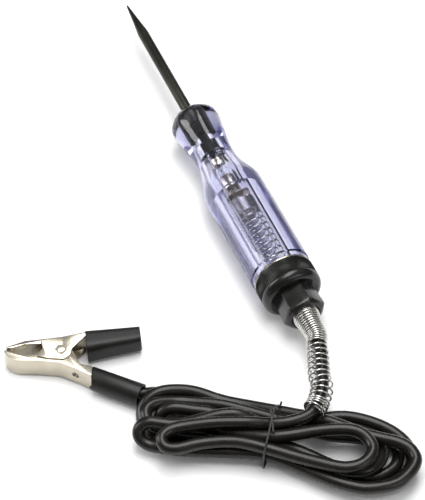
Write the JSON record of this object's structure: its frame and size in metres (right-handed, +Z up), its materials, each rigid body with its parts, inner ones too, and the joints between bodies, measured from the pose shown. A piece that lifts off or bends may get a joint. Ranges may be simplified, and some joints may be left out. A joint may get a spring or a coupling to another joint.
{
  "type": "circuit test light",
  "caption": "Automotive circuit tester: clear handle with a lamp and steel probe, spring strain relief, lead in a tied hank and a spring clip.",
  "frame": {"origin": "on the table under the middle of the tool, which lies on its side; the lead, its hank and the clip are left out", "axes": "+Y along the tool's axis towards the probe's point, +Z up from the table, +X completes the frame"},
  "size_m": [0.1327, 0.2778, 0.0264],
  "materials": {
    "clear_plastic": "clear lavender acetate",
    "black_steel": "black oxide, satin",
    "nickel": "bright nickel plate",
    "brass": "plain brass",
    "glass": "clear glass",
    "tungsten": "bare wire",
    "black_plastic": "black moulded nylon, satin",
    "fibre": "red fibre board",
    "bright_wire": "bright drawn spring wire",
    "cord_pvc": "black satin PVC",
    "tie_pvc": "black PVC over wire",
    "sleeve_vinyl": "black dipped vinyl",
    "copper": "tinned copper crimp"
  },
  "bodies": {
    "cap_and_lead": {"rear_cap": "black_plastic", "rim_ring": "nickel", "cable_gland": "black_plastic", "insulating_washer": "fibre", "contact_disc": "brass", "contact_spring": "bright_wire", "lead_terminal": "brass", "strain_relief_spring": "bright_wire", "lead_cord": "cord_pvc", "cord_hank": "cord_pvc", "clip_cord_tail": "cord_pvc", "twist_tie": "tie_pvc", "clip_cord_arm": "nickel", "clip_rivet": "nickel", "clip_spring": "bright_wire", "cord_handle_sleeve": "sleeve_vinyl", "wire_crimp": "copper"},
    "lamp": {"lamp_front_cap": "nickel", "lamp_glass": "glass", "lamp_filament": "tungsten", "lamp_rear_cap": "nickel"},
    "handle": {"handle_shell": "clear_plastic", "probe_rod": "black_steel", "rod_collar": "black_steel", "rod_end_contact": "black_steel"},
    "clip_jaw": {"clip_free_arm": "nickel", "free_handle_sleeve": "sleeve_vinyl"}
  },
  "joints": [
    {"name": "handle_travel", "type": "slide", "parent": "cap_and_lead", "child": "lamp", "axis": [0, 1, 0], "range_m": [0, 0.006], "deforming": ["contact_spring"]},
    {"name": "handle_turn", "type": "hinge", "parent": "lamp", "child": "handle", "pos_m": [0, -0.0216, 0.0132], "axis": [0, 1, 0], "range_deg": [0, 1440]},
    {"name": "clip_squeeze", "type": "hinge", "parent": "cap_and_lead", "child": "clip_jaw", "pos_m": [-0.0952, -0.0712, 0.00565], "axis": [0, 0, -1], "range_deg": [0, 24], "stiffness_Nm_per_rad": 0.35, "springref_deg": -20.05, "deforming": ["clip_spring"]}
  ],
  "couplings": [
    {"joint": "handle_turn", "follows": "handle_travel", "rad_per_m": 4188.8}
  ]
}
